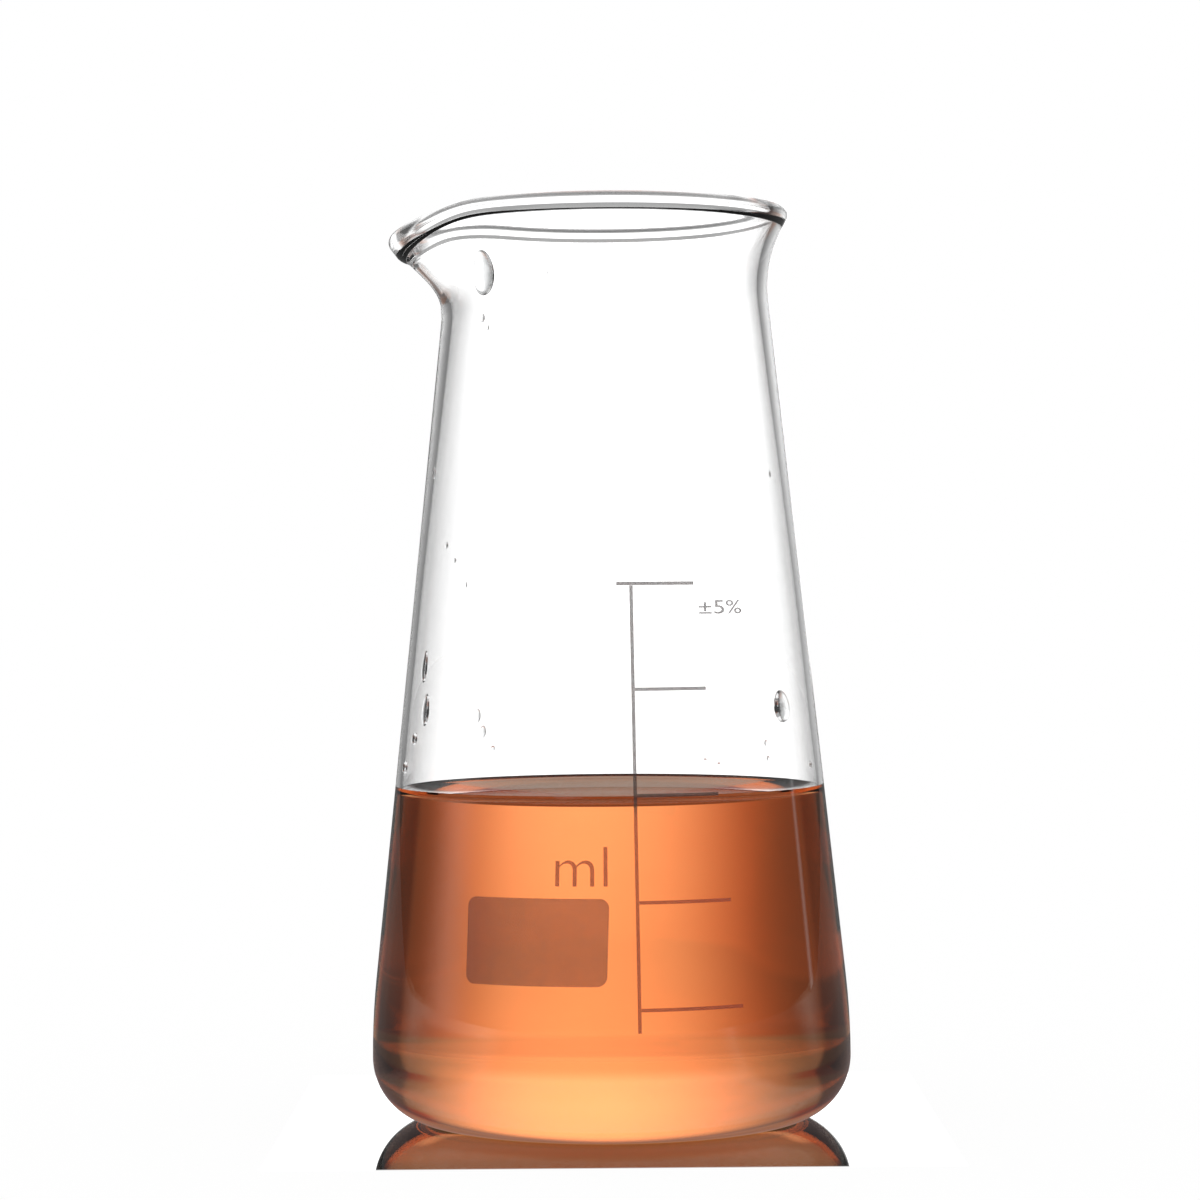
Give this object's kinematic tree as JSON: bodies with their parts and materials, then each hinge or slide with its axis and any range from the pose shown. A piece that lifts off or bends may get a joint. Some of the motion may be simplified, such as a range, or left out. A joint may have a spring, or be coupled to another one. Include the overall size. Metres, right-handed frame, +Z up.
{
  "type": "conical beaker",
  "caption": "Blown glass conical beaker with a rounded heel, a flared beaded rim and a pouring spout, a fired-on enamel scale and an amber liquid inside.",
  "frame": {"origin": "centre of the base, on the surface that the beaker stands on", "axes": "+Z up along the vessel's axis, -X towards the pouring spout, -Y towards the face with the scale"},
  "size_m": [0.0582, 0.0582, 0.1108],
  "materials": {
    "clear_glass": "gloss",
    "amber_liquid": "gloss",
    "enamel": "satin"
  },
  "bodies": {
    "root": {"glass_body": "clear_glass", "liquid": "amber_liquid", "scale_spine": "enamel", "graduation_1": "enamel", "graduation_2": "enamel", "graduation_3": "enamel", "graduation_4": "enamel", "graduation_5": "enamel", "marking_panel": "enamel"}
  },
  "joints": []
}
